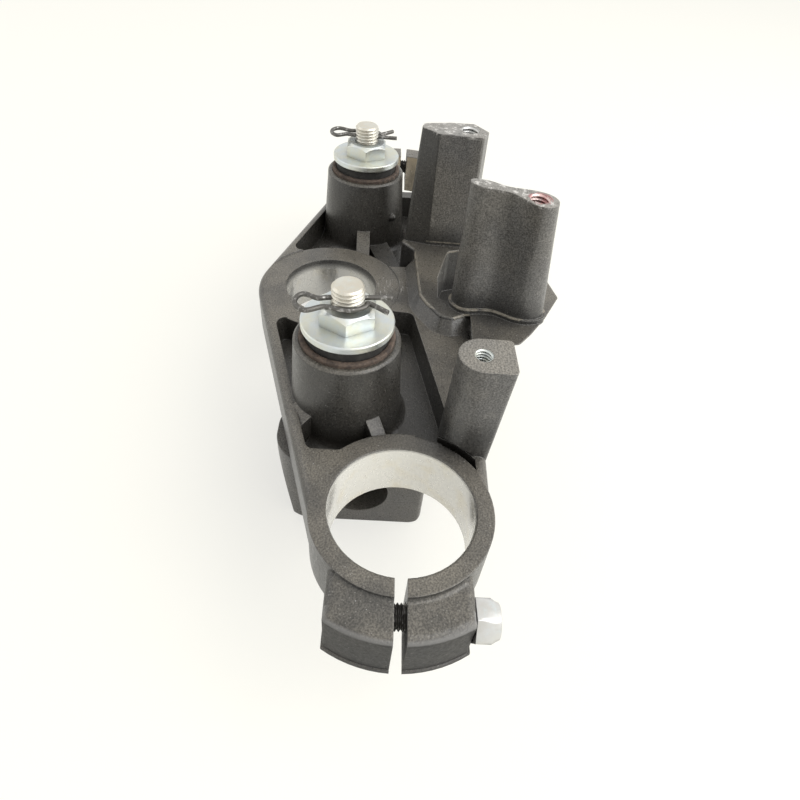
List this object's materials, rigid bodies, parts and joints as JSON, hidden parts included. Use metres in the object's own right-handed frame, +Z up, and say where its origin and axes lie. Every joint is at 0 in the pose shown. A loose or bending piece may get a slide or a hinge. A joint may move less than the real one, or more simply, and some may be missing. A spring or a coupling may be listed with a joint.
{
  "type": "motorcycle triple clamp",
  "caption": "Upper fork clamp of a motorcycle, underside up, with split fork rings, stem bore, lock posts and rubber-mounted handlebar holders.",
  "frame": {"origin": "on the steering stem axis, at the machined face round the stem bore", "axes": "+X to the right of the bike, +Y to the rear, +Z up as it lies, which is down on the bike"},
  "size_m": [0.281, 0.1166, 0.108],
  "materials": {
    "cast_black": "satin black coated casting, worn at edges, bare machined bores",
    "clamp_black": "satin black",
    "zinc": "zinc plated",
    "stud_steel": "plated thread",
    "spring_steel": "dark spring wire",
    "rusty_steel": "surface rust",
    "rubber": "matte",
    "bolt_steel": "plated"
  },
  "bodies": {
    "root": {"fork_bridge": "cast_black", "pinch_bolt_left": "bolt_steel", "pinch_bolt_right": "bolt_steel", "bush_shell_left": "rusty_steel", "bush_shell_right": "rusty_steel", "damper_nut_side_left": "rubber", "damper_nut_side_right": "rubber", "damper_bar_side_left": "rubber", "damper_bar_side_right": "rubber", "collar_left": "bolt_steel", "collar_right": "bolt_steel", "washer_left": "zinc", "washer_right": "zinc", "nut_left": "zinc", "nut_right": "zinc", "stud_left": "stud_steel", "stud_right": "stud_steel", "clip_left": "spring_steel", "clip_right": "spring_steel", "holder_left": "clamp_black", "holder_right": "clamp_black", "cap_left": "clamp_black", "cap_right": "clamp_black", "cap_bolt_front_left": "bolt_steel", "cap_bolt_front_right": "bolt_steel", "cap_bolt_rear_left": "bolt_steel", "cap_bolt_rear_right": "bolt_steel"}
  },
  "joints": []
}
